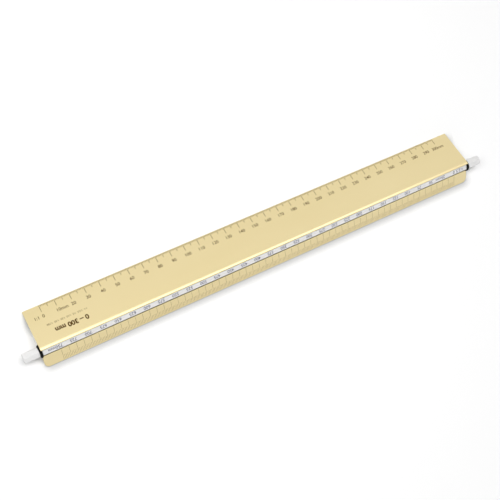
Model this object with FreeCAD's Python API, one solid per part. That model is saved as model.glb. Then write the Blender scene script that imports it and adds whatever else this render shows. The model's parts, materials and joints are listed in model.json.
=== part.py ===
"""Scale ruler: an anodised aluminium extrusion with a windowed tube, and a six-sided barrel
that turns in the tube, held endways by an O-ring in each mouth of the tube.

Units are millimetres. +X runs along the ruler to the right, +Y towards the edge of the wide
wing, +Z up. The origin is the middle of the ruler on the surface that it lies on.
"""
import FreeCAD, Part
import math
import os

V = FreeCAD.Vector

# Ruler body
body_length = 322.9          # cut length of the extrusion
wing_reach = 26.9            # from the wing's edge to the barrel's axis
bevel_reach = 10.5           # from the barrel's axis to the bevel's edge
far_edge_height = 0.9        # upright face along the wing's edge
near_edge_height = 0.4       # upright face along the bevel's edge
wing_thickness = 1.8         # of the wing's sloping wall
bevel_thickness = 1.8        # of the bevel's sloping wall
near_corner_radius = 3.0     # the bevel's two corners, seen from above
far_corner_radius = 0.4      # the wing's two corners, seen from above
root_fillet = 0.8            # under the tube, where the two walls leave it
edge_round = 0.15            # breaks the long sharp edges

# Tube along the crest of the body
tube_above_table = 3.0       # free height under the tube
tube_wall = 1.05
window_upper_angle = 94.5    # degrees above level, at the root of the rounded upper lip
window_lower_angle = -18.0   # degrees above level, at the bevel's top edge

# Barrel
barrel_flats = 6.0           # across two opposite facets
barrel_corner_round = 0.2
barrel_end_chamfer = 0.3
barrel_turn = 6.0            # degrees that the top corner leans towards the bevel at rest
barrel_clearance = 0.28      # between the barrel's sharp corners and the bore
knob_length = 11.05          # how far the barrel stands out of each end of the body

# O-rings, each of which half enters a recess in the tube's mouth
ring_section = 1.9           # diameter of the rubber
ring_seat_clearance = 0.02   # between an O-ring and the neck that it sits on
groove_depth = 1.1           # below the barrel's sharp corners
groove_side_clearance = 0.1  # on each side of an O-ring in its groove
recess_depth = 0.9           # from the end face of the body
recess_clearance = 0.12      # between an O-ring and the recess round it
recess_end_gap = 0.1         # between an O-ring and the bottom of the recess

# Worked out from the sizes above
barrel_length = body_length + 2.0 * knob_length
barrel_corner_radius = barrel_flats / math.sqrt(3.0)
bore_radius = barrel_corner_radius + barrel_clearance
tube_radius = bore_radius + tube_wall
body_width = wing_reach + bevel_reach
far_y = body_width / 2.0
near_y = -body_width / 2.0
axis_y = far_y - wing_reach
axis_height = tube_above_table + tube_radius
neck_radius = barrel_corner_radius - groove_depth
ring_inner_radius = neck_radius + ring_seat_clearance
recess_radius = ring_inner_radius + ring_section + recess_clearance
recess_start_x = body_length / 2.0 - recess_depth
ring_centre_x = recess_start_x + recess_end_gap + ring_section / 2.0
cut_overlap = 1.0            # how far a cutting shape runs past what it cuts
same_place = 0.001           # two points nearer than this are one point
X_AXIS = V(1, 0, 0)


def round_axis(radius, degrees):
    """Point (y, z) at a radius from the barrel's axis; 0 degrees points at the bevel side."""
    a = math.radians(degrees)
    return axis_y - radius * math.cos(a), axis_height + radius * math.sin(a)


def at(x, point):
    """Three-dimensional point from a place along the ruler and a (y, z) pair."""
    return V(x, point[0], point[1])


def along_axis(x):
    """Point on the barrel's axis at x."""
    return V(x, axis_y, axis_height)


def line(x, start, end):
    """Straight edge between two (y, z) places in the plane at x."""
    return Part.LineSegment(at(x, start), at(x, end)).toShape()


def arc(x, radius, start_deg, end_deg):
    """Arc about the barrel's axis from one angle to another."""
    middle = (start_deg + end_deg) / 2.0
    points = [at(x, round_axis(radius, a)) for a in (start_deg, middle, end_deg)]
    return Part.Arc(*points).toShape()


def wing_slope():
    """Slope in degrees of the wing's top face, which is tangent to the tube."""
    rise = axis_height - far_edge_height
    reach = math.hypot(wing_reach, rise)
    return math.degrees(math.atan2(rise, wing_reach) + math.asin(tube_radius / reach))


def bevel_slope():
    """Slope in degrees of the bevel's face, from the window's lower edge to the near edge."""
    top_y, top_z = round_axis(bore_radius, window_lower_angle)
    return math.degrees(math.atan2(top_z - near_edge_height, top_y - near_y))


def foot_width(thickness, edge_height, slope):
    """Width of the flat foot that a sloping wall has where the table cuts it."""
    a = math.radians(slope)
    return (thickness / math.cos(a) - edge_height) / math.tan(a)


def body_profile(x):
    """Closed section of the extrusion, in the plane at x."""
    slope = wing_slope()
    bevel = bevel_slope()
    # The walls' inner faces lie at these signed distances from the barrel's axis.
    wing_inner = tube_radius - wing_thickness
    bevel_normal = 90.0 - bevel
    bevel_outer = bore_radius * math.cos(math.radians(window_lower_angle - bevel_normal))
    bevel_inner = bevel_outer - bevel_thickness
    wing_tangent = 90.0 + slope
    wing_root = wing_tangent + math.degrees(math.acos(wing_inner / tube_radius))
    bevel_root = 360.0 + bevel_normal - math.degrees(math.acos(bevel_inner / tube_radius))
    far_foot = foot_width(wing_thickness, far_edge_height, slope)
    near_foot = foot_width(bevel_thickness, near_edge_height, bevel)
    # The upper lip of the window is a half round as thick as the tube's wall.
    lip_radius = tube_wall / 2.0
    lip_middle = bore_radius + lip_radius
    lip_tip_angle = window_upper_angle - math.degrees(math.asin(lip_radius / lip_middle))
    lip = Part.Arc(
        at(x, round_axis(tube_radius, window_upper_angle)),
        at(x, round_axis(lip_middle, lip_tip_angle)),
        at(x, round_axis(bore_radius, window_upper_angle)),
    ).toShape()
    edges = [
        line(x, (far_y, 0.0), (far_y, far_edge_height)),
        line(x, (far_y, far_edge_height), round_axis(tube_radius, wing_tangent)),
        arc(x, tube_radius, wing_tangent, window_upper_angle),
        lip,
        arc(x, bore_radius, window_upper_angle, 360.0 + window_lower_angle),
        line(x, round_axis(bore_radius, window_lower_angle), (near_y, near_edge_height)),
        line(x, (near_y, near_edge_height), (near_y, 0.0)),
        line(x, (near_y, 0.0), (near_y + near_foot, 0.0)),
        line(x, (near_y + near_foot, 0.0), round_axis(tube_radius, bevel_root)),
        arc(x, tube_radius, bevel_root, wing_root),
        line(x, round_axis(tube_radius, wing_root), (far_y - far_foot, 0.0)),
        line(x, (far_y - far_foot, 0.0), (far_y, 0.0)),
    ]
    roots = [round_axis(tube_radius, bevel_root), round_axis(tube_radius, wing_root)]
    return Part.Wire(Part.__sortEdges__(edges)), roots


def long_edges(solid, places):
    """Edges of a solid that run along X through any of the given (y, z) places."""
    found = []
    for edge in solid.Edges:
        start = edge.firstVertex().Point
        end = edge.lastVertex().Point
        if math.hypot(end.y - start.y, end.z - start.z) > same_place:
            continue
        if any(math.hypot(start.y - y, start.z - z) < same_place for y, z in places):
            found.append(edge)
    return found


def upright_edges(solid, side):
    """Upright edges of a solid on the wing's side (+1) or the bevel's side (-1)."""
    found = []
    for edge in solid.Edges:
        start = edge.firstVertex().Point
        end = edge.lastVertex().Point
        upright = math.hypot(end.x - start.x, end.y - start.y) < same_place
        if upright and start.y * side > far_y - same_place:
            found.append(edge)
    return found


def plan_outline():
    """Upright block with the ruler's outline seen from above, its four corners rounded."""
    height = axis_height + tube_radius + 2.0 * cut_overlap
    corner = V(-body_length / 2.0, near_y, -cut_overlap)
    block = Part.makeBox(body_length, body_width, height, corner)
    block = block.makeFillet(near_corner_radius, upright_edges(block, -1))
    return block.makeFillet(far_corner_radius, upright_edges(block, 1))


def make_body():
    """Extruded ruler body: wing, windowed tube and bevel in one piece of aluminium."""
    profile, roots = body_profile(-body_length / 2.0)
    solid = Part.Face(profile).extrude(X_AXIS * body_length)
    solid = solid.makeFillet(root_fillet, long_edges(solid, roots))
    sharp = [
        (far_y, far_edge_height),
        (near_y, near_edge_height),
        round_axis(bore_radius, window_lower_angle),
    ]
    solid = solid.makeFillet(edge_round, long_edges(solid, sharp))
    return solid.common(plan_outline()).cut(make_recesses()).removeSplitter()


def make_recesses():
    """What is bored out of the tube's two mouths for the O-rings."""
    length = recess_depth + cut_overlap
    return [
        Part.makeCylinder(recess_radius, length, along_axis(side * recess_start_x), X_AXIS * side)
        for side in (-1, 1)]


def make_hexagon_rod():
    """Plain six-sided rod with rounded long edges, one corner straight up."""
    start = -barrel_length / 2.0
    corners = [at(start, round_axis(barrel_corner_radius, 90.0 + 60.0 * k)) for k in range(7)]
    rod = Part.Face(Part.makePolygon(corners)).extrude(X_AXIS * barrel_length)
    places = [(p.y, p.z) for p in corners[:6]]
    return rod.makeFillet(barrel_corner_round, long_edges(rod, places))


def make_barrel():
    """Six-sided barrel with turned end chamfers and a turned groove for each O-ring."""
    rod = make_hexagon_rod()
    chamfer_start = barrel_length / 2.0 - barrel_end_chamfer
    turned = Part.makeCylinder(
        barrel_corner_radius, 2.0 * chamfer_start, along_axis(-chamfer_start), X_AXIS)
    groove_width = ring_section + 2.0 * groove_side_clearance
    waste = []
    for side in (-1, 1):
        tip_radius = barrel_corner_radius - barrel_end_chamfer
        cone_base = along_axis(side * chamfer_start)
        turned = turned.fuse(Part.makeCone(
            barrel_corner_radius, tip_radius, barrel_end_chamfer, cone_base, X_AXIS * side))
        groove_start = along_axis(side * ring_centre_x - groove_width / 2.0)
        sleeve = Part.makeCylinder(barrel_corner_radius + cut_overlap, groove_width, groove_start, X_AXIS)
        neck = Part.makeCylinder(neck_radius, groove_width, groove_start, X_AXIS)
        waste.append(sleeve.cut(neck))
    rod = rod.common(turned).cut(waste)
    rod.rotate(along_axis(0), X_AXIS, barrel_turn)
    return rod.removeSplitter()


def make_ring(side):
    """O-ring on the barrel, half in the recess of one of the tube's mouths."""
    middle_radius = ring_inner_radius + ring_section / 2.0
    return Part.makeTorus(middle_radius, ring_section / 2.0, along_axis(side * ring_centre_x), X_AXIS)


def main():
    os.makedirs("parts", exist_ok=True)
    nodes = {
        "ruler_body": make_body(),
        "scale_barrel": make_barrel(),
        "o_ring_left": make_ring(-1),
        "o_ring_right": make_ring(1),
    }
    for name, shape in nodes.items():
        shape.exportStep("parts/" + name + ".step")
        print(name, "solids:", len(shape.Solids), "valid:", shape.isValid(), "mm3:", round(shape.Volume, 1))
    print("wing slope:", round(wing_slope(), 2), "bevel slope:", round(bevel_slope(), 2))
    print("barrel axis y, z:", round(axis_y, 3), round(axis_height, 3))


main()
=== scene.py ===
"""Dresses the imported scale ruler: its finishes and marked scales, the floor, light and camera.

Lengths are written in millimetres and turned to metres by MM. X runs along the ruler to the right,
Y towards the edge of the wide wing and Z up, as in the solids.
"""
import json
import math

import bmesh
import bpy
import numpy as np
from mathutils import Matrix, Vector


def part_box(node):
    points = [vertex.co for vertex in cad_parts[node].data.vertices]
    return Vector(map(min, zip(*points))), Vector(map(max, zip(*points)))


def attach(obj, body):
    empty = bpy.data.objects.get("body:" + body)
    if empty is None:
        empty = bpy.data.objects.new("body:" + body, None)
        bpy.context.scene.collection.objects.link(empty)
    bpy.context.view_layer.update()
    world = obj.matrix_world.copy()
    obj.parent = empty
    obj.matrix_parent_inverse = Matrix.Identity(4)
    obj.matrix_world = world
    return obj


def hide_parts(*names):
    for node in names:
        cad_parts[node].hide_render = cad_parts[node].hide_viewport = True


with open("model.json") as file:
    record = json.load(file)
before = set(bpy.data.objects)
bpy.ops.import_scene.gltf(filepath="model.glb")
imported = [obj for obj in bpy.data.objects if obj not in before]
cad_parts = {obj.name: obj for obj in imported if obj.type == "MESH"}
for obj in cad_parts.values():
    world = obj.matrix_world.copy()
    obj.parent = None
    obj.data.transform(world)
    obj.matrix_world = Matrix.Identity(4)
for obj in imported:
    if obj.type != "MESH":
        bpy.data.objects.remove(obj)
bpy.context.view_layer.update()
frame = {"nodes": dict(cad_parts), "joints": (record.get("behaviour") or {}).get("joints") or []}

MM = 0.001

# Sizes of the solids
BODY_LOW, BODY_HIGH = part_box("ruler_body")
AXIS_Y, AXIS_Z = frame["joints"][0]["pos_m"][1:]
TUBE_RADIUS = 4.794 * MM
TUBE_WALL = 1.05 * MM
BORE_RADIUS = TUBE_RADIUS - TUBE_WALL
FAR_EDGE_HEIGHT = 0.9 * MM
NEAR_EDGE_HEIGHT = 0.4 * MM
WINDOW_LOWER_ANGLE = math.radians(-18.0)
BARREL_FLATS = 6.0 * MM
BARREL_TURN = math.radians(6.0)
FACETS = 6

# What all the scales share
SCALE_LENGTH = 300            # millimetres of graduation
SCALE_START = -150.62 * MM    # place of the 1:1 scale's zero along the ruler
MARK_STEP = 10                # millimetres from one numbered mark to the next
MARK_THICKNESS = 0.02 * MM    # of a mark's thin solid
MARK_PROUD = 0.012 * MM       # how far a mark's top stands over the face that carries it
NUMERAL_HEIGHT = 2.3 * MM
NUMERAL_WEIGHT = 0.01         # how much a numeral's strokes are widened, over its height
FONT_NUMERAL_SHARE = 0.729    # height of the font's numerals over its size
LETTER_CURVE_STEPS = 4        # straight pieces in each curved stretch of a letter


def colour(code):
    """Linear colour from an sRGB hex code such as E8D7A6."""
    parts = [int(code[i:i + 2], 16) / 255.0 for i in (0, 2, 4)]
    return [c / 12.92 if c <= 0.04045 else ((c + 0.055) / 1.055) ** 2.4 for c in parts] + [1.0]


def add_node(tree, kind, inputs=None, **settings):
    """Adds a node; an input is a plain value or the socket that feeds it."""
    node = tree.nodes.new(kind)
    for name, value in settings.items():
        setattr(node, name, value)
    for name, value in (inputs or {}).items():
        if isinstance(value, bpy.types.NodeSocket):
            tree.links.new(value, node.inputs[name])
        else:
            node.inputs[name].default_value = value
    return node


def new_material(name):
    """Empty material, the tree that its finish goes into, and the tree's output node."""
    material = bpy.data.materials.new(name)
    material.use_nodes = True
    tree = material.node_tree
    tree.nodes.clear()
    return material, tree, add_node(tree, "ShaderNodeOutputMaterial")


def finish_with(tree, output, shader_inputs):
    """Principled shader on the material's output."""
    shader = add_node(tree, "ShaderNodeBsdfPrincipled", shader_inputs)
    tree.links.new(shader.outputs["BSDF"], output.inputs["Surface"])


def stretched_noise(tree, along, across, detail=2.0):
    """Noise in object space whose grains are `along` metres long in X and `across` metres wide."""
    coords = add_node(tree, "ShaderNodeTexCoord").outputs["Object"]
    scaled = add_node(tree, "ShaderNodeMapping", {
        "Vector": coords, "Scale": (1.0 / along, 1.0 / across, 1.0 / across)})
    return add_node(tree, "ShaderNodeTexNoise", {
        "Vector": scaled.outputs["Vector"], "Scale": 1.0, "Detail": detail}).outputs["Fac"]


def blend_colours(tree, factor, low, high):
    """Colour that runs from low to high with the factor."""
    mix = add_node(tree, "ShaderNodeMix", data_type="RGBA")
    tree.links.new(factor, mix.inputs["Factor"])
    mix.inputs["A"].default_value = low
    mix.inputs["B"].default_value = high
    return mix.outputs["Result"]


def gold_anodised_aluminium():
    """Extruded aluminium, etched satin and anodised champagne gold.

    The metal shows its dyed colour through the clear skin of oxide, which is a coat with a broad
    pale gloss of its own. The die leaves fine lines along the extrusion, about 0.1 mm apart; they
    are drawn 0.4 mm apart so that they show at all. The dye is even, with a faint drift of shade
    over centimetres.
    """
    material, tree, output = new_material("gold_anodised_aluminium")
    lines = stretched_noise(tree, 120 * MM, 0.4 * MM, 3.0)
    drift = stretched_noise(tree, 60 * MM, 25 * MM, 1.0)
    tint = blend_colours(tree, drift, colour("DDCB97"), colour("E2D1A0"))
    rough = add_node(tree, "ShaderNodeMapRange", {
        "Value": lines, "To Min": 0.27, "To Max": 0.36}).outputs["Result"]
    bump = add_node(tree, "ShaderNodeBump", {
        "Height": lines, "Strength": 0.12, "Distance": 0.01 * MM}).outputs["Normal"]
    finish_with(tree, output, {
        "Base Color": tint, "Metallic": 1.0, "Roughness": rough, "Normal": bump,
        "Coat Weight": 0.6, "Coat Roughness": 0.22, "Coat IOR": 1.6})
    return material


def laser_marked_oxide():
    """Anodised skin burnt by a laser: a dark warm brown, matt, with hardly any gloss.

    The laser's spots, about 0.05 mm across, leave faint speckles that are drawn 0.3 mm across.
    """
    material, tree, output = new_material("laser_marked_oxide")
    speckle = stretched_noise(tree, 0.3 * MM, 0.3 * MM)
    tint = blend_colours(tree, speckle, colour("3E2602"), colour("573A08"))
    finish_with(tree, output, {"Base Color": tint, "Roughness": 0.6, "Specular IOR Level": 0.05})
    return material


def white_abs():
    """Extruded white ABS with a soft gloss; light enters a little, so edges look milky.

    The die's lines, about 0.2 mm apart, are drawn 0.5 mm apart.
    """
    material, tree, output = new_material("white_abs")
    lines = stretched_noise(tree, 80 * MM, 0.5 * MM)
    tint = blend_colours(tree, lines, colour("E0DFDE"), colour("E4E4E3"))
    rough = add_node(tree, "ShaderNodeMapRange", {
        "Value": lines, "To Min": 0.32, "To Max": 0.42}).outputs["Result"]
    bump = add_node(tree, "ShaderNodeBump", {
        "Height": lines, "Strength": 0.1, "Distance": 0.01 * MM}).outputs["Normal"]
    finish_with(tree, output, {
        "Base Color": tint, "Roughness": rough, "IOR": 1.54, "Normal": bump,
        "Subsurface Weight": 0.3, "Subsurface Radius": (1.0, 1.0, 1.0),
        "Subsurface Scale": 0.5 * MM})
    return material


def pad_printed_ink():
    """Pad-printed blue-grey ink: thin and matt.

    It covers a little unevenly, in patches of about 0.1 mm that are drawn 0.4 mm across.
    """
    material, tree, output = new_material("pad_printed_ink")
    cover = stretched_noise(tree, 0.4 * MM, 0.4 * MM)
    tint = blend_colours(tree, cover, colour("41415E"), colour("585874"))
    finish_with(tree, output, {"Base Color": tint, "Roughness": 0.55})
    return material


def nitrile_rubber():
    """Moulded nitrile rubber: near black and dull.

    The mould's fine grain, about 0.05 mm, is drawn 0.15 mm across.
    """
    material, tree, output = new_material("nitrile_rubber")
    grain = stretched_noise(tree, 0.15 * MM, 0.15 * MM)
    tint = blend_colours(tree, grain, colour("080707"), colour("121111"))
    bump = add_node(tree, "ShaderNodeBump", {
        "Height": grain, "Strength": 0.2, "Distance": 0.01 * MM}).outputs["Normal"]
    finish_with(tree, output, {
        "Base Color": tint, "Roughness": 0.6, "Specular IOR Level": 0.1, "Normal": bump})
    return material


# Each finish of a new piece: its material, its slot and the body that the piece rides on
ALUMINIUM = (gold_anodised_aluminium(), "gold_anodised", "ruler")
LASERED = (laser_marked_oxide(), "laser_mark", "ruler")
PRINTED = (pad_printed_ink(), "printed_ink", "barrel")
RUBBER = (nitrile_rubber(), "black_rubber", "barrel")


def add_piece(name, mesh, finish):
    """Links a finished mesh as a piece with its material, attached to the body it rides on."""
    material, slot, body = finish
    piece = bpy.data.objects.new(name, mesh)
    bpy.context.scene.collection.objects.link(piece)
    mesh.materials.clear()
    mesh.materials.append(material)
    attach(piece, body)
    return piece


def mesh_from(name, points, faces):
    """Mesh from an array of points and an array of faces."""
    mesh = bpy.data.meshes.new(name)
    mesh.from_pydata(points.tolist(), [], faces.tolist())
    mesh.update()
    return mesh


class Face:
    """A flat face that carries marks: an origin, and the right, up and outward directions."""

    def __init__(self, origin, right, up):
        self.origin = np.array(origin)
        self.axes = np.array([right, up, np.cross(right, up)])

    def place(self, points):
        """Points given as right, up and outwards, turned to places in the ruler's frame."""
        return self.origin + points @ self.axes

    def from_behind(self):
        """The same face read from its other side, with right and up turned round."""
        return Face(self.origin, -self.axes[0], -self.axes[1])


def wing_face():
    """The wing's top face: the plane through its far edge that is tangent to the tube.

    The slope is the angle from the far edge to the barrel's axis, plus the arcsine of the tube's
    radius over that distance. The origin lies on the far edge, and up points out over that edge.
    """
    reach, rise = BODY_HIGH.y - AXIS_Y, AXIS_Z - FAR_EDGE_HEIGHT
    slope = math.atan2(rise, reach) + math.asin(TUBE_RADIUS / math.hypot(reach, rise))
    origin = (0.0, BODY_HIGH.y, FAR_EDGE_HEIGHT)
    return Face(origin, (1.0, 0.0, 0.0), (0.0, math.cos(slope), -math.sin(slope)))


def bevel_face():
    """The bevel's face, from the window's lower edge down to the near edge.

    The origin lies on the upper edge, and up points from the near edge to the window.
    """
    top_y = AXIS_Y - BORE_RADIUS * math.cos(WINDOW_LOWER_ANGLE)
    top_z = AXIS_Z + BORE_RADIUS * math.sin(WINDOW_LOWER_ANGLE)
    slope = math.atan2(top_z - NEAR_EDGE_HEIGHT, top_y - BODY_LOW.y)
    return Face((0.0, top_y, top_z), (1.0, 0.0, 0.0), (0.0, math.cos(slope), math.sin(slope)))


def barrel_face(number):
    """A facet of the barrel; number 0 is the one in the window, read from the wing's side.

    A facet's outward direction is 60 degrees further round than the last one's, and its origin
    lies half the width across flats from the axis. Right points along -X.
    """
    angle = math.pi / 2 - BARREL_TURN - math.pi / FACETS - number * 2.0 * math.pi / FACETS
    outward = np.array([0.0, -math.cos(angle), math.sin(angle)])
    right = np.array([-1.0, 0.0, 0.0])
    origin = np.array([0.0, AXIS_Y, AXIS_Z]) + outward * BARREL_FLATS / 2.0
    return Face(origin, right, np.cross(outward, right))


# A block one unit long each way, from which every graduation line is stretched
BLOCK_CORNERS = np.array([
    [x, y, z] for z in (0, 1) for x, y in ((0, 0), (1, 0), (1, 1), (0, 1))], float)
BLOCK_FACES = np.array([
    [3, 2, 1, 0], [4, 5, 6, 7], [0, 1, 5, 4], [1, 2, 6, 5], [2, 3, 7, 6], [3, 0, 4, 7]])


def bars(places, bottoms, tops, widths):
    """Thin blocks across a face, one for each place along it, as points and faces.

    A block's corner is the place, half the width to either side, then bottom or top, then the
    underside or the top of the mark's thickness.
    """
    count = len(places)
    undersides = np.full(count, MARK_PROUD - MARK_THICKNESS)
    low = np.column_stack([places - widths / 2.0, bottoms, undersides])
    size = np.column_stack([widths, tops - bottoms, np.full(count, MARK_THICKNESS)])
    points = low[:, None, :] + size[:, None, :] * BLOCK_CORNERS[None, :, :]
    faces = BLOCK_FACES[None, :, :] + len(BLOCK_CORNERS) * np.arange(count)[:, None, None]
    return points.reshape(-1, 3), faces.reshape(-1, 4)


def words_mesh(text, height, weight):
    """Outline of a word as a thin closed mesh, in points and triangles.

    The word is centred on the origin. Its strokes are widened by the weight times its height.
    """
    curve = bpy.data.curves.new("word", "FONT")
    curve.body = text
    curve.align_x = "CENTER"
    curve.offset = weight * height
    curve.size = height / FONT_NUMERAL_SHARE
    curve.extrude = MARK_THICKNESS / 2.0
    curve.resolution_u = LETTER_CURVE_STEPS
    carrier = bpy.data.objects.new("word", curve)
    mesh = bpy.data.meshes.new_from_object(carrier)
    same_point = MARK_THICKNESS / 100.0
    shape = bmesh.new()
    shape.from_mesh(mesh)
    bmesh.ops.remove_doubles(shape, verts=shape.verts, dist=same_point)
    bmesh.ops.triangulate(shape, faces=shape.faces)
    shape.to_mesh(mesh)
    shape.free()
    points = np.empty(len(mesh.vertices) * 3)
    mesh.vertices.foreach_get("co", points)
    triangles = np.empty(len(mesh.polygons) * 3, int)
    mesh.polygons.foreach_get("vertices", triangles)
    bpy.data.objects.remove(carrier)
    bpy.data.curves.remove(curve)
    bpy.data.meshes.remove(mesh)
    points = points.reshape(-1, 3)
    points[:, 1] -= height / 2.0
    points[:, 2] += MARK_PROUD - MARK_THICKNESS / 2.0
    return points, triangles.reshape(-1, 3)


def join_shapes(shapes):
    """Joins (points, faces) pairs into one, each face's numbers moved past the points before it."""
    starts = np.cumsum([0] + [len(points) for points, _ in shapes[:-1]])
    points = np.concatenate([points for points, _ in shapes])
    faces = np.concatenate([faces + start for (_, faces), start in zip(shapes, starts)])
    return points, faces


def numerals(name, face, words, finish, weight=NUMERAL_WEIGHT):
    """One piece of all the words on a face; each word is (text, right, up, height)."""
    shapes = []
    for text, right, up, height in words:
        points, faces = words_mesh(text, height, weight)
        shapes.append((face.place(points + np.array([right, up, 0.0])), faces))
    points, faces = join_shapes(shapes)
    add_piece(name, mesh_from(name, points, faces), finish)


def graduations(name, face, places, bottoms, tops, widths):
    """One piece of all the graduation lines that the laser marks on a face of the body."""
    points, faces = bars(places, bottoms, tops, widths)
    add_piece(name, mesh_from(name, face.place(points), faces), LASERED)


# The 1:1 scale along the wing's far edge
TENTH_MARK_LENGTH = 4.8 * MM  # at each 10 mm
FIFTH_MARK_LENGTH = 2.7 * MM  # at each 5 mm between them
SHORT_MARK_LENGTH = 1.1 * MM  # at each other millimetre
LONG_MARK_WIDTH = 0.28 * MM   # at each 10 mm and 5 mm
SHORT_MARK_WIDTH = 0.34 * MM
WING_MARK_GAP = 0.25 * MM     # between the far edge and the marks
WING_NUMERAL_ROW = 8.2 * MM   # from the far edge to the middle of the numerals
WING_RATIO_SHIFT = 4.4 * MM   # from the scale's zero back to the middle of its ratio
WING_UNIT_SHIFT = 2.4 * MM    # of the first number, which carries its unit

# Words on the wing that are read from behind it: text, right, up and height, and their weight
WING_CAPTION = ("0 \u2013 300 mm", 137.0 * MM, 20.7 * MM, 3.3 * MM)
WING_CAPTION_WEIGHT = 0.05
WING_RATIOS = ("1:1  1:2.5  1:5  1:10  1:20  1:50  1:100", 138.0 * MM, 15.2 * MM, 1.3 * MM)
WING_RATIOS_WEIGHT = 0.0


def dress_wing():
    """1:1 scale along the wing's far edge: a line each millimetre, numbers each 10 mm."""
    face = wing_face()
    steps = np.arange(SCALE_LENGTH + 1)
    places = SCALE_START + steps * MM
    lengths = np.select(
        [steps % 10 == 0, steps % 5 == 0],
        [TENTH_MARK_LENGTH, FIFTH_MARK_LENGTH], SHORT_MARK_LENGTH)
    widths = np.select([steps % 5 == 0], [LONG_MARK_WIDTH], SHORT_MARK_WIDTH)
    tops = np.full(len(steps), -WING_MARK_GAP)
    graduations("wing_graduations", face, places, tops - lengths, tops, widths)
    row = -WING_NUMERAL_ROW
    words = [("1:1", SCALE_START - WING_RATIO_SHIFT, row, NUMERAL_HEIGHT)]
    for value in range(0, SCALE_LENGTH + 1, MARK_STEP):
        text = str(value) + ("mm" if value in (MARK_STEP, SCALE_LENGTH) else "")
        shift = WING_UNIT_SHIFT if value == MARK_STEP else 0.0
        words.append((text, SCALE_START + value * MM + shift, row, NUMERAL_HEIGHT))
    numerals("wing_numerals", face, words, LASERED)
    behind = face.from_behind()
    numerals("wing_caption", behind, [WING_CAPTION], LASERED, WING_CAPTION_WEIGHT)
    numerals("wing_ratios", behind, [WING_RATIOS], LASERED, WING_RATIOS_WEIGHT)


# The bevel's lines
BEVEL_SHIFT = 1.35 * MM       # of the first line from the 1:1 scale's zero
BEVEL_LINE_WIDTH = 0.12 * MM
FIFTH_LINE_TOP = 0.5 * MM     # down from the window's lower edge, at each 5 mm
FINE_LINE_TOP = 4.2 * MM      # up from the near edge, at each other millimetre
BEVEL_LINE_FOOT = 0.7 * MM    # up from the near edge


def dress_bevel():
    """Shared graduations on the bevel: a line each 5 mm down from the window, fine ones below."""
    face = bevel_face()
    depth = math.hypot(face.origin[1] - BODY_LOW.y, face.origin[2] - NEAR_EDGE_HEIGHT)
    steps = np.arange(SCALE_LENGTH + 1)
    places = SCALE_START + BEVEL_SHIFT + steps * MM
    tops = np.select([steps % 5 == 0], [-FIFTH_LINE_TOP], FINE_LINE_TOP - depth)
    bottoms = np.full(len(steps), BEVEL_LINE_FOOT - depth)
    widths = np.full(len(steps), BEVEL_LINE_WIDTH)
    graduations("bevel_graduations", face, places, bottoms, tops, widths)


# Each facet's ratio, the value of one numbered step, and its unit
BARREL_SCALES = (
    ("1:2.5", 25, "mm"), ("1:5", 50, "mm"), ("1:10", 0.1, "m"),
    ("1:20", 0.2, "m"), ("1:50", 0.5, "m"), ("1:100", 1, "m"))
BARREL_RATIO_SHIFT = 5.0 * MM  # from a scale's zero back to the middle of its ratio
BARREL_UNIT_SHIFT = 1.8 * MM   # of the first and the last number, which carry their unit


def dress_barrel():
    """A reduction scale on each facet, with zero at the right and numbers each 10 mm."""
    zero = -(SCALE_START + SCALE_LENGTH * MM)
    count = SCALE_LENGTH // MARK_STEP
    for number, (ratio, step, unit) in enumerate(BARREL_SCALES):
        words = [(ratio, zero - BARREL_RATIO_SHIFT, 0.0, NUMERAL_HEIGHT)]
        for k in range(count + 1):
            has_unit = k in (1, count)
            text = format(k * step, ".4g") + (unit if has_unit else "")
            shift = BARREL_UNIT_SHIFT if has_unit else 0.0
            words.append((text, zero + k * MARK_STEP * MM + shift, 0.0, NUMERAL_HEIGHT))
        name = "barrel_scale_" + ratio.replace(":", "_to_").replace(".", "_")
        numerals(name, barrel_face(number), words, PRINTED)


# How the extrusion's surface is shaded
SAME_POINT = 0.0005 * MM          # two of the solid's points nearer than this are one
SHARP_EDGE = math.radians(30.0)   # a sharper edge is kept crisp
END_TILT = 0.02                   # a facet that faces further along X is at a cut end or corner


def dress_body():
    """The extrusion's surface: smooth round the tube, crisp at its edges, flat at its cut ends."""
    mesh = frame["nodes"]["ruler_body"].data.copy()
    shape = bmesh.new()
    shape.from_mesh(mesh)
    bmesh.ops.remove_doubles(shape, verts=shape.verts, dist=SAME_POINT)
    shape.to_mesh(mesh)
    shape.free()
    mesh.shade_smooth()
    mesh.set_sharp_from_angle(angle=SHARP_EDGE)
    for facet in mesh.polygons:
        facet.use_smooth = abs(facet.normal.x) < END_TILT
    piece = add_piece("ruler_body_surface", mesh, ALUMINIUM)
    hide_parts("ruler_body")
    weighted = piece.modifiers.new("even_flats", "WEIGHTED_NORMAL")
    weighted.keep_sharp = True


# The ridge that the mould's parting line leaves on an O-ring, and the ring's facets
RIDGE_HEIGHT = 0.03 * MM
RIDGE_SPREAD = 0.12           # radians round the section, to either side
RING_STEPS = 120              # round the barrel
SECTION_STEPS = 72            # round the section


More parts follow.
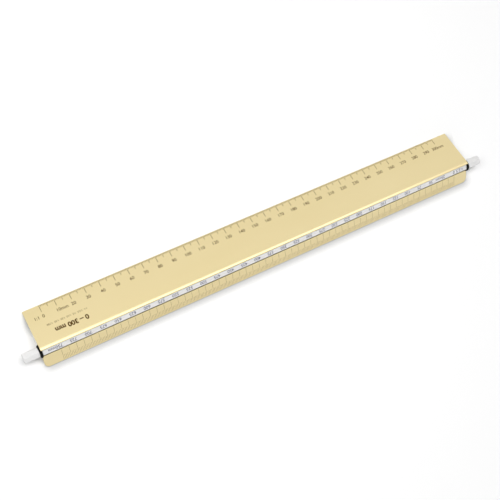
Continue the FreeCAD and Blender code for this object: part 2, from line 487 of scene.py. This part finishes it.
def dress_ring(node):
    """O-ring as a torus, with the fine ridge that the mould's parting line leaves outside.

    A point is the ring's centre, plus the middle radius outwards at the angle a round the barrel,
    plus the section's radius at the angle b round the section. The section is drawn in by the
    ridge's height times 1 - exp(-(b / spread)^2), so that the ridge at b = 0 has the full radius.
    """
    low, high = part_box(node)
    centre = (low + high) / 2.0
    section = (high.x - low.x) / 2.0
    middle = (high.z - low.z) / 2.0 - section
    a = np.linspace(0.0, 2.0 * np.pi, RING_STEPS, endpoint=False)[:, None]
    b = np.linspace(-np.pi, np.pi, SECTION_STEPS, endpoint=False)[None, :]
    drawn_in = RIDGE_HEIGHT * (1.0 - np.exp(-(b / RIDGE_SPREAD) ** 2))
    radial = middle + (section - drawn_in) * np.cos(b)
    points = np.stack(np.broadcast_arrays(
        centre.x + (section - drawn_in) * np.sin(b),
        centre.y + radial * np.cos(a),
        centre.z + radial * np.sin(a)), axis=-1).reshape(-1, 3)
    i, j = np.meshgrid(np.arange(RING_STEPS), np.arange(SECTION_STEPS), indexing="ij")
    row = i * SECTION_STEPS
    next_row = (i + 1) % RING_STEPS * SECTION_STEPS
    next_j = (j + 1) % SECTION_STEPS
    faces = np.stack([row + j, next_row + j, next_row + next_j, row + next_j], axis=-1)
    name = node + "_surface"
    mesh = mesh_from(name, points, faces.reshape(-1, 4))
    mesh.shade_smooth()
    piece = add_piece(name, mesh, RUBBER)
    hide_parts(node)


# The white table, with painted contact shade beside the ruler
TABLE_REACH = 4.0             # metres from its middle to each side
PAINTED_SHADE_REACH = 6 * MM        # a thing nearer than this darkens the table's paint with painted shade
PAINTED_SHADE_POWER = 1.5           # of the unblocked share; a higher one makes the painted shade darker
LIGHT_SIDE = {"X": -0.3, "Y": 0.81, "Z": 0.5}   # the way in which the painted shade looks for such things
LIFT = 0.11                   # added to the lit paint for the camera and for mirrored rays
FAR_LIFT = 0.8                # the camera's lift at and past LIFT_END
LIFT_START = 300 * MM
LIFT_END = 900 * MM


def make_floor():
    """White table, which takes the ruler's shadow from the lamps and a painted shade besides.

    Close beside the ruler the paint is darkened with painted contact shade: its whiteness is the
    share of the lamps' side that nothing within the painted shade's reach blocks, to its power.
    The camera sees the table lifted to white, the more so with distance, so that its far side meets
    the white surroundings.
    """
    corners = np.array([[-1, -1, 0], [1, -1, 0], [1, 1, 0], [-1, 1, 0]]) * TABLE_REACH
    floor = bpy.data.objects.new("floor", mesh_from("floor", corners, np.array([[0, 1, 2, 3]])))
    bpy.context.scene.collection.objects.link(floor)
    material, tree, output = new_material("white_table_painted_shade")

    # Painted shade: the paint is darkened where something is near on the lamps' side
    light_side = add_node(tree, "ShaderNodeCombineXYZ", LIGHT_SIDE).outputs[0]
    unblocked = add_node(tree, "ShaderNodeAmbientOcclusion", {
        "Distance": PAINTED_SHADE_REACH, "Normal": light_side}, samples=16).outputs["AO"]
    painted_shade_whiteness = add_node(tree, "ShaderNodeMath", {
        0: unblocked, 1: PAINTED_SHADE_POWER}, operation="POWER").outputs[0]
    # The paint's colour runs from black to white with that share, which paints the contact shade
    tint = blend_colours(tree, painted_shade_whiteness, colour("000000"), colour("F0F0F0"))
    paint_with_painted_shade = add_node(tree, "ShaderNodeBsdfDiffuse", {"Color": tint}).outputs["BSDF"]

    path = add_node(tree, "ShaderNodeLightPath").outputs
    place = add_node(tree, "ShaderNodeTexCoord").outputs["Object"]
    away = add_node(tree, "ShaderNodeVectorMath", {0: place}, operation="LENGTH").outputs["Value"]
    lift_there = add_node(tree, "ShaderNodeMapRange", {
        "Value": away, "From Min": LIFT_START, "From Max": LIFT_END,
        "To Min": LIFT, "To Max": FAR_LIFT}, interpolation_type="SMOOTHSTEP").outputs["Result"]
    seen = add_node(tree, "ShaderNodeMath", {
        0: path["Is Camera Ray"], 1: lift_there}, operation="MULTIPLY").outputs[0]
    mirrored = add_node(tree, "ShaderNodeMath", {
        0: path["Is Glossy Ray"], 1: LIFT}, operation="MULTIPLY").outputs[0]
    lift = add_node(tree, "ShaderNodeMath", {0: seen, 1: mirrored}, operation="ADD").outputs[0]
    glow = add_node(tree, "ShaderNodeEmission", {"Strength": lift}).outputs[0]

    both = add_node(tree, "ShaderNodeAddShader", {0: paint_with_painted_shade, 1: glow}).outputs[0]
    tree.links.new(both, output.inputs["Surface"])
    floor.data.materials.append(material)


SURROUNDING_LIGHT = 0.3       # strength of the white surroundings as they light the ruler


def make_light():
    """White surroundings, and softboxes overhead, at the left and low in front of the ruler.

    The metal mirrors none of these three, but a larger one overhead that lights nothing else.
    """
    world = bpy.data.worlds.new("white_studio")
    bpy.context.scene.world = world
    world.use_nodes = True
    tree = world.node_tree
    tree.nodes.clear()
    path = add_node(tree, "ShaderNodeLightPath").outputs
    seen = add_node(tree, "ShaderNodeMath", {
        0: path["Is Camera Ray"], 1: path["Is Glossy Ray"]}, operation="MAXIMUM").outputs[0]
    seen = add_node(tree, "ShaderNodeMath", {
        0: seen, 1: path["Is Transmission Ray"]}, operation="MAXIMUM").outputs[0]
    lighting = add_node(tree, "ShaderNodeBackground", {
        "Color": colour("FFFFFF"), "Strength": SURROUNDING_LIGHT}).outputs[0]
    plain_white = add_node(tree, "ShaderNodeBackground", {
        "Color": colour("FFFFFF"), "Strength": 1.0}).outputs[0]
    mix = add_node(tree, "ShaderNodeMixShader", {0: seen, 1: lighting, 2: plain_white}).outputs[0]
    output = add_node(tree, "ShaderNodeOutputWorld")
    tree.links.new(mix, output.inputs["Surface"])

    add_softbox("softbox_above", (0, 120, 1085), (900, 640), radiance=4.2)
    add_softbox("softbox_at_left", (-640, 200, 900), (500, 500), radiance=4.5)
    add_softbox("softbox_in_front", (0, -1100, 240), (1400, 260), radiance=1.7)
    add_softbox("mirrored_softbox", (60, 252, 1000), (1050, 784), radiance=1.6, mirrored=True)


def add_softbox(name, place, size, radiance, mirrored=False):
    """Rectangular lamp that faces the ruler; its place, width and height are in millimetres.

    Its power is its radiance times pi times its area. Either it lights the ruler, or it is
    mirrored: then it shows only in the gloss.
    """
    lamp = bpy.data.lights.new(name, "AREA")
    lamp.shape = "RECTANGLE"
    lamp.size = size[0] * MM
    lamp.size_y = size[1] * MM
    lamp.energy = radiance * math.pi * lamp.size * lamp.size_y
    softbox = bpy.data.objects.new(name, lamp)
    softbox.location = Vector(place) * MM
    softbox.rotation_euler = (-softbox.location).to_track_quat("-Z", "Y").to_euler()
    softbox.visible_glossy = mirrored
    softbox.visible_diffuse = not mirrored
    bpy.context.scene.collection.objects.link(softbox)


# The camera's place, the point on the table at the picture's middle, and its roll and lens were
# found by fitting the ruler's own 10 mm marks, edges and ends to the photograph.
CAMERA_PLACE = Vector((-218.52, -24.68, 621.44)) * MM
CAMERA_AIM = Vector((-9.33, -2.26, 0.0)) * MM
CAMERA_ROLL = math.radians(-24.187)
LENS_OVER_SENSOR = 986.6 / 500.0   # focal length over the picture's width, both in pixels
NEAREST_SEEN = 10 * MM


def make_camera():
    """Camera that looks from its place to its aim, turned about its own axis by the roll."""
    data = bpy.data.cameras.new("camera")
    data.lens = LENS_OVER_SENSOR * data.sensor_width
    data.clip_start = NEAREST_SEEN
    camera = bpy.data.objects.new("camera", data)
    bpy.context.scene.collection.objects.link(camera)
    forward = (CAMERA_AIM - CAMERA_PLACE).normalized()
    level_right = forward.cross(Vector((0.0, 1.0, 0.0))).normalized()
    level_up = level_right.cross(forward)
    right = level_right * math.cos(CAMERA_ROLL) + level_up * math.sin(CAMERA_ROLL)
    up = right.cross(forward)
    turn = Matrix((right, up, -forward)).transposed()
    camera.matrix_world = Matrix.Translation(CAMERA_PLACE) @ turn.to_4x4()
    bpy.context.scene.camera = camera


# The barrel's own solid is kept, and only gets its plastic.
frame["nodes"]["scale_barrel"].data.materials.clear()
frame["nodes"]["scale_barrel"].data.materials.append(white_abs())
dress_body()
dress_ring("o_ring_left")
dress_ring("o_ring_right")
dress_wing()
dress_bevel()
dress_barrel()
make_floor()
make_light()
make_camera()
bpy.context.scene.view_settings.view_transform = "Standard"
